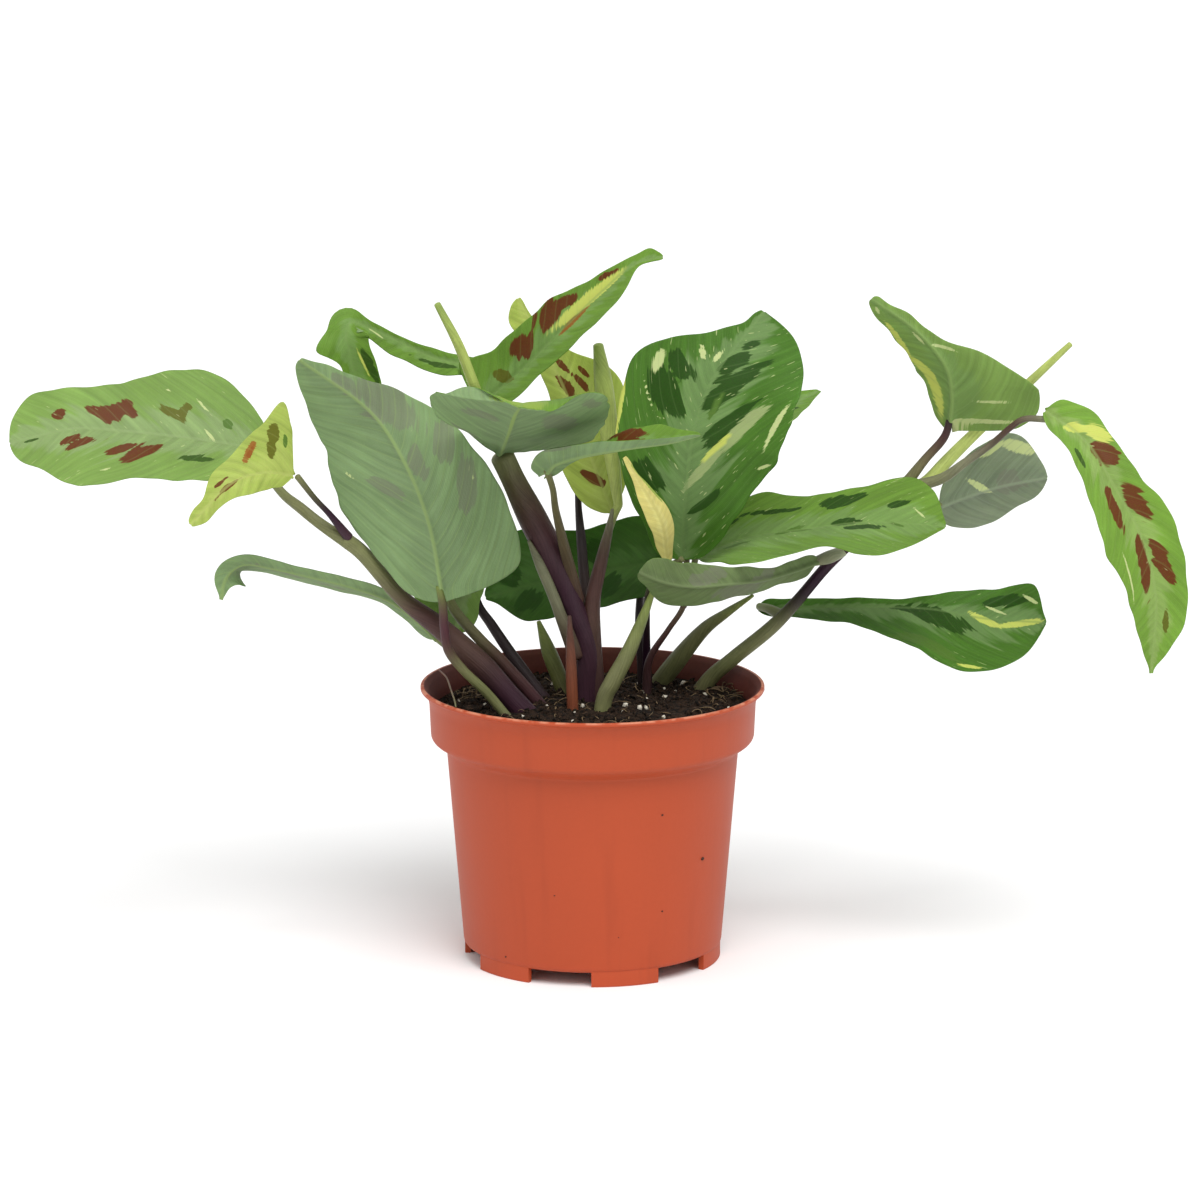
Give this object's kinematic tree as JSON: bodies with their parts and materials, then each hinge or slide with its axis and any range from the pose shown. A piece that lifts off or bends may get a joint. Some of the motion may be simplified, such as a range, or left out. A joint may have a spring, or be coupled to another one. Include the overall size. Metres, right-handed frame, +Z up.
{
  "type": "potted prayer plant",
  "caption": "Small foliage plant with broad patterned leaves on slender arching stalks, rooted in a round tapered plastic nursery pot that stands on feet",
  "frame": {"origin": "centre of the bounding box in plan, on the plane of the pot's feet; the pot's axis is the Z axis", "axes": "+Z up, +X to the right across the widest spread of the leaves, the front that the picture shows faces -Y"},
  "size_m": [0.4053, 0.1613, 0.2519],
  "materials": {
    "pot_plastic": "satin moulded plastic",
    "soil": "loose dark peat, matt",
    "stalk_purple": "satin living stalk",
    "stalk_olive": "satin living stalk",
    "stalk_green": "satin living stalk",
    "sheath_dry": "dry papery sheath",
    "leaf_green": "satin leaf",
    "leaf_deep": "satin leaf",
    "leaf_pale": "matt underside of a leaf",
    "leaf_young": "satin young leaf",
    "leaf_cream": "satin young leaf",
    "leaf_rolled": "satin rolled leaf"
  },
  "bodies": {
    "root": {"pot": "pot_plastic", "soil": "soil", "shoot_main": "stalk_purple", "sheath_dry": "sheath_dry", "shoot_left": "stalk_olive", "stalk_left_broad": "stalk_green", "stalk_rear_left": "stalk_purple", "stalk_left_hanging": "stalk_purple", "sheath_left": "stalk_green", "sheath_right": "stalk_green", "shoot_back": "stalk_purple", "shoot_right": "stalk_purple", "shoot_front_low": "stalk_green", "shoot_far_right": "stalk_olive", "rolled_leaf_left": "leaf_rolled", "rolled_leaf_centre": "leaf_rolled", "rolled_leaf_right": "leaf_rolled", "leaf_left_long": "leaf_green", "leaf_left_young": "leaf_young", "leaf_left_arching": "leaf_green", "leaf_left_broad": "leaf_pale", "leaf_left_low": "leaf_pale", "leaf_left_hanging": "leaf_green", "leaf_top_pointed": "leaf_green", "leaf_centre_upright": "leaf_young", "leaf_front_high": "leaf_pale", "leaf_right_broad": "leaf_deep", "leaf_cream": "leaf_cream", "leaf_right_spreading": "leaf_green", "leaf_front_low": "leaf_pale", "leaf_back_shaded": "leaf_deep", "leaf_right_low": "leaf_deep", "leaf_right_high": "leaf_pale", "leaf_right_hanging": "leaf_green", "leaf_right_rear": "leaf_pale", "leaf_front_narrow": "leaf_green", "leaf_rear_left": "leaf_green", "leaf_rear_right": "leaf_green", "leaf_rear_centre": "leaf_green"}
  },
  "joints": []
}
